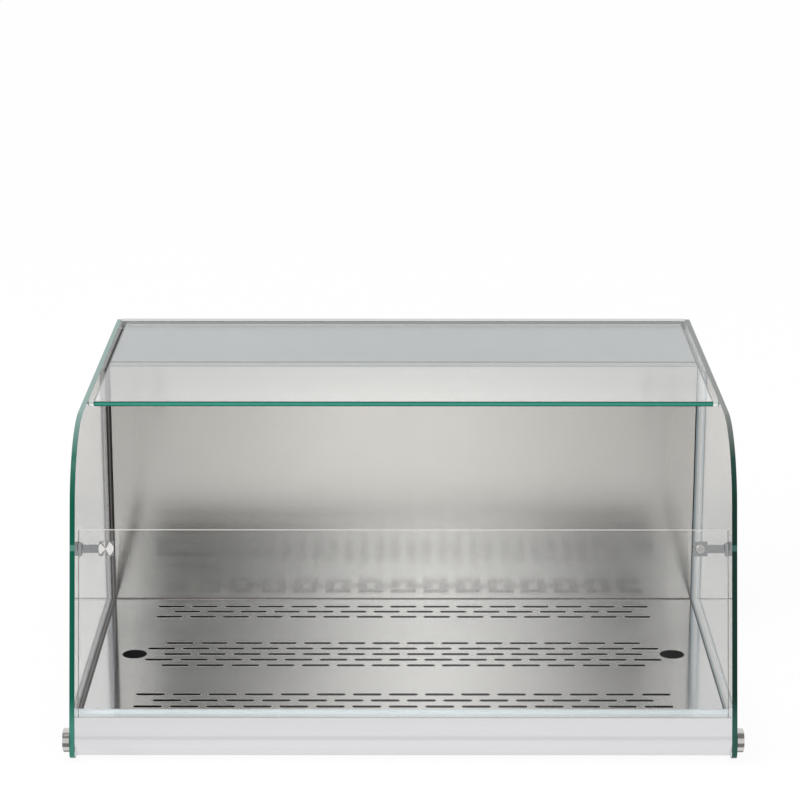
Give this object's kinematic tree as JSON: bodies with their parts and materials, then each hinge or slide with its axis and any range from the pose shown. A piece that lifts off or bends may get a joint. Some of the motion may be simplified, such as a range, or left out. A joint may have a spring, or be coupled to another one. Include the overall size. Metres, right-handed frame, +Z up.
{
  "type": "refrigerated display case",
  "caption": "Low counter-top chilled display case with clear curved-corner sides, open serving front above a lift-out panel, slotted floor and rear machine bay.",
  "frame": {"origin": "centre of the bounding box's foot, on the surface that the feet stand on", "axes": "+X to the customer's right along the case, +Y from the customer towards the operator, +Z up"},
  "size_m": [0.786, 0.65, 0.369],
  "materials": {
    "side_glass": "clear float glass with polished green edges",
    "top_glass": "clear float glass with a polished green edge",
    "clear_panel": "clear acrylic, polished edges",
    "clear_plastic": "clear moulded plastic",
    "brushed_steel": "brushed stainless, fine horizontal grain",
    "mirror_steel": "bright rolled stainless",
    "polished_steel": "polished stainless",
    "fascia_aluminium": "bright anodised, satin",
    "rail_aluminium": "satin anodised",
    "cover_steel": "smooth pale grey coating",
    "galvanised": "zinc coated sheet",
    "seal_rubber": "dark satin rubber",
    "foot_rubber": "matt rubber",
    "foam": "fine-celled foam",
    "black_plastic": "fine-grained moulding",
    "grey_plastic": "fine-grained moulding",
    "display_window": "dark red tinted window",
    "compressor_black": "black enamel",
    "copper": "drawn copper, lightly tarnished",
    "fin_aluminium": "thin bare sheet",
    "zinc_screws": "zinc plated"
  },
  "bodies": {
    "case": {"side_glass_left": "side_glass", "side_glass_right": "side_glass", "glass_caps": "polished_steel", "glass_sleeves": "clear_plastic", "top_glass": "top_glass", "top_glass_spacers": "clear_plastic", "top_glass_gasket": "clear_plastic", "rear_rail": "rail_aluminium", "front_fascia": "fascia_aluminium", "connector_leaves": "polished_steel", "connector_glass_screws": "polished_steel", "well_liner": "brushed_steel", "base_insulation": "foam", "base_tray": "galvanised", "side_rails": "rail_aluminium", "side_seals": "seal_rubber", "feet": "foot_rubber", "drain_spout": "grey_plastic", "back_wall": "brushed_steel", "wall_insulation": "foam", "machine_top_cover": "cover_steel", "machine_sides": "galvanised", "rear_cover": "brushed_steel", "rear_cover_screws": "zinc_screws", "controller_housing": "black_plastic", "controller_display": "display_window", "rocker_switch_frame": "black_plastic", "power_inlet": "black_plastic", "compressor_shell": "compressor_black", "compressor_base": "galvanised", "compressor_grommets": "foot_rubber", "compressor_bolts": "zinc_screws", "compressor_terminal_cover": "black_plastic", "condenser_tube": "copper", "condenser_fins": "fin_aluminium", "condenser_shroud": "galvanised", "condenser_fan_motor": "black_plastic", "evaporator_tube": "copper", "evaporator_fins": "fin_aluminium", "evaporator_fan_frames": "black_plastic", "suction_line": "copper", "discharge_line": "copper", "liquid_line": "copper", "filter_drier": "copper", "capillary_tube": "copper"},
    "removable_panel": {"front_panel": "clear_panel", "panel_bushes": "clear_plastic", "connector_arms": "polished_steel", "connector_pins": "polished_steel", "panel_bolt": "polished_steel", "panel_nuts": "polished_steel"},
    "knob": {"panel_knob": "polished_steel"},
    "floor": {"floor_plate": "mirror_steel"},
    "condenser_fan": {"condenser_fan_blade": "fin_aluminium"},
    "well_fan_left": {"evaporator_fan_rotor_left": "black_plastic"},
    "well_fan_right": {"evaporator_fan_rotor_right": "black_plastic"},
    "key_down": {"button_down": "grey_plastic"},
    "key_set": {"button_set": "grey_plastic"},
    "key_up": {"button_up": "grey_plastic"},
    "rocker": {"rocker_switch_paddle": "black_plastic"}
  },
  "joints": [
    {"name": "front_panel_lift", "type": "slide", "parent": "case", "child": "removable_panel", "axis": [0, 0.279, 0.9603], "range_m": [0, 0.25]},
    {"name": "panel_knob_turn", "type": "hinge", "parent": "removable_panel", "child": "knob", "pos_m": [-0.3427, -0.26034, 0.23927], "axis": [0, -0.9603, 0.279], "continuous": true},
    {"name": "floor_plate_lift", "type": "slide", "parent": "case", "child": "floor", "axis": [0, 0, 1], "range_m": [0, 0.05]},
    {"name": "condenser_fan_spin", "type": "hinge", "parent": "case", "child": "condenser_fan", "pos_m": [0.045, 0.2658, 0.134], "axis": [0, 1, 0], "continuous": true},
    {"name": "well_fan_left_spin", "type": "hinge", "parent": "case", "child": "well_fan_left", "pos_m": [-0.3, -0.01, 0.035], "axis": [0, 0, 1], "continuous": true},
    {"name": "well_fan_right_spin", "type": "hinge", "parent": "case", "child": "well_fan_right", "pos_m": [0.3, -0.01, 0.035], "axis": [0, 0, 1], "continuous": true},
    {"name": "rocker_tip", "type": "hinge", "parent": "case", "child": "rocker", "pos_m": [-0.18, 0.3192, 0.3], "axis": [1, 0, 0], "range_deg": [-12, 0]},
    {"name": "button_down_press", "type": "slide", "parent": "case", "child": "key_down", "axis": [0, -1, 0], "range_m": [0, 0.0008], "stiffness_N_per_m": 400},
    {"name": "button_set_press", "type": "slide", "parent": "case", "child": "key_set", "axis": [0, -1, 0], "range_m": [0, 0.0008], "stiffness_N_per_m": 400},
    {"name": "button_up_press", "type": "slide", "parent": "case", "child": "key_up", "axis": [0, -1, 0], "range_m": [0, 0.0008], "stiffness_N_per_m": 400}
  ]
}
